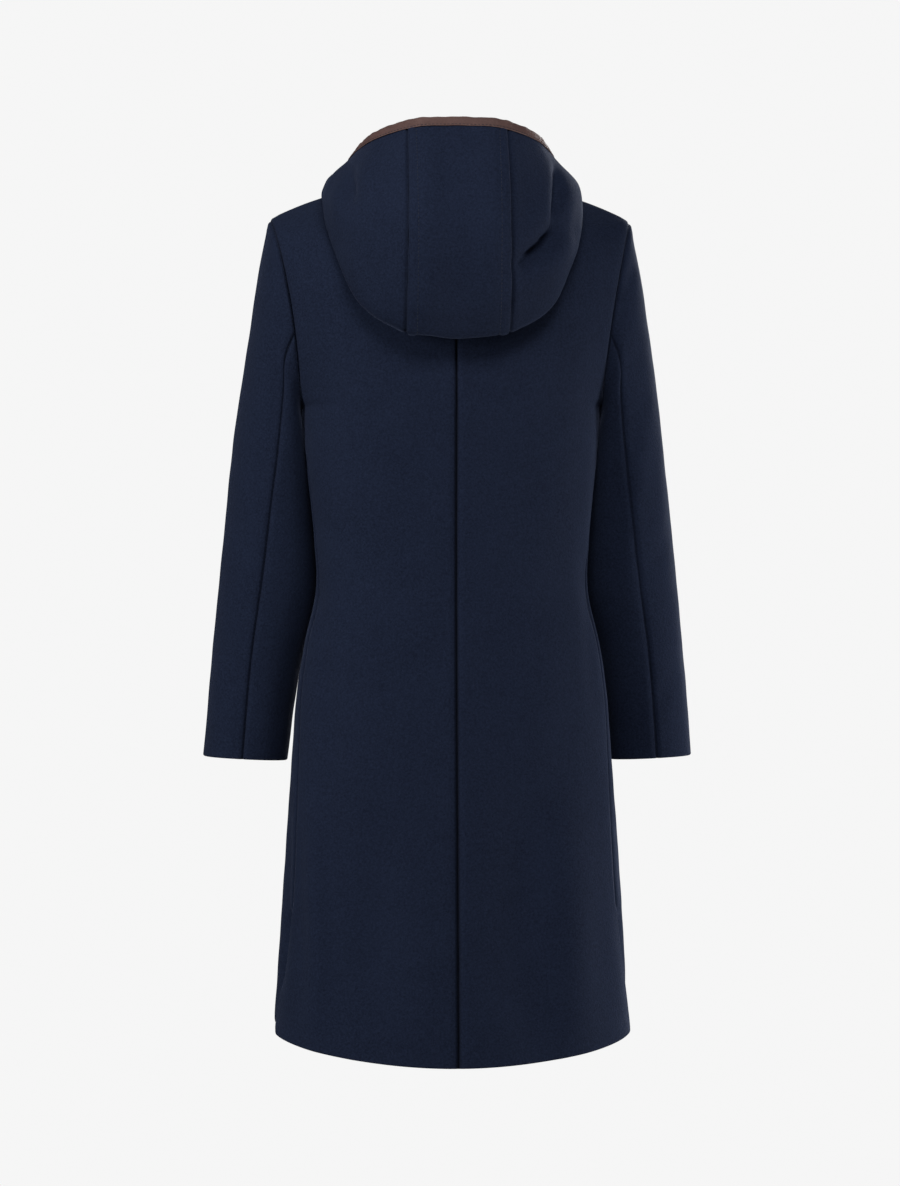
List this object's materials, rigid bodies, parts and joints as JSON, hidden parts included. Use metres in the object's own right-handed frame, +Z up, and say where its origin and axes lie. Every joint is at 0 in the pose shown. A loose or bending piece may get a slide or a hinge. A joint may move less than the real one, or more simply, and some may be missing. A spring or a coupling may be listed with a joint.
{
  "type": "duffle coat",
  "caption": "Knee-length hooded wool coat, hollow as if worn, with set-in sleeves, side vents, a bound hood and horn toggle fastenings.",
  "frame": {"origin": "middle of the neck, at the height of the shoulder seams' neck ends, where the wearer carries the coat", "axes": "+Z up, the fronts face -Y, the wearer's left is +X"},
  "size_m": [0.5624, 0.3625, 1.0448],
  "materials": {
    "navy_wool": "milled wool cloth with a short, fine nap",
    "brown_leather": "soft matt leather",
    "brown_horn": "polished dark horn"
  },
  "bodies": {
    "root": {"back_left": "navy_wool", "back_right": "navy_wool", "front_left": "navy_wool", "front_right": "navy_wool", "sleeve_left_top": "navy_wool", "sleeve_left_under": "navy_wool", "sleeve_right_top": "navy_wool", "sleeve_right_under": "navy_wool", "hood_centre": "navy_wool", "hood_side_left": "navy_wool", "hood_side_right": "navy_wool", "hood_binding": "brown_leather", "loop_1": "brown_leather", "loop_2": "brown_leather", "loop_3": "brown_leather", "loop_4": "brown_leather", "tie_1": "brown_leather", "tie_2": "brown_leather", "tie_3": "brown_leather", "tie_4": "brown_leather", "patch_left_1": "brown_leather", "patch_left_2": "brown_leather", "patch_left_3": "brown_leather", "patch_left_4": "brown_leather", "patch_right_1": "brown_leather", "patch_right_2": "brown_leather", "patch_right_3": "brown_leather", "patch_right_4": "brown_leather", "toggle_1": "brown_horn", "toggle_2": "brown_horn", "toggle_3": "brown_horn", "toggle_4": "brown_horn"}
  },
  "joints": []
}
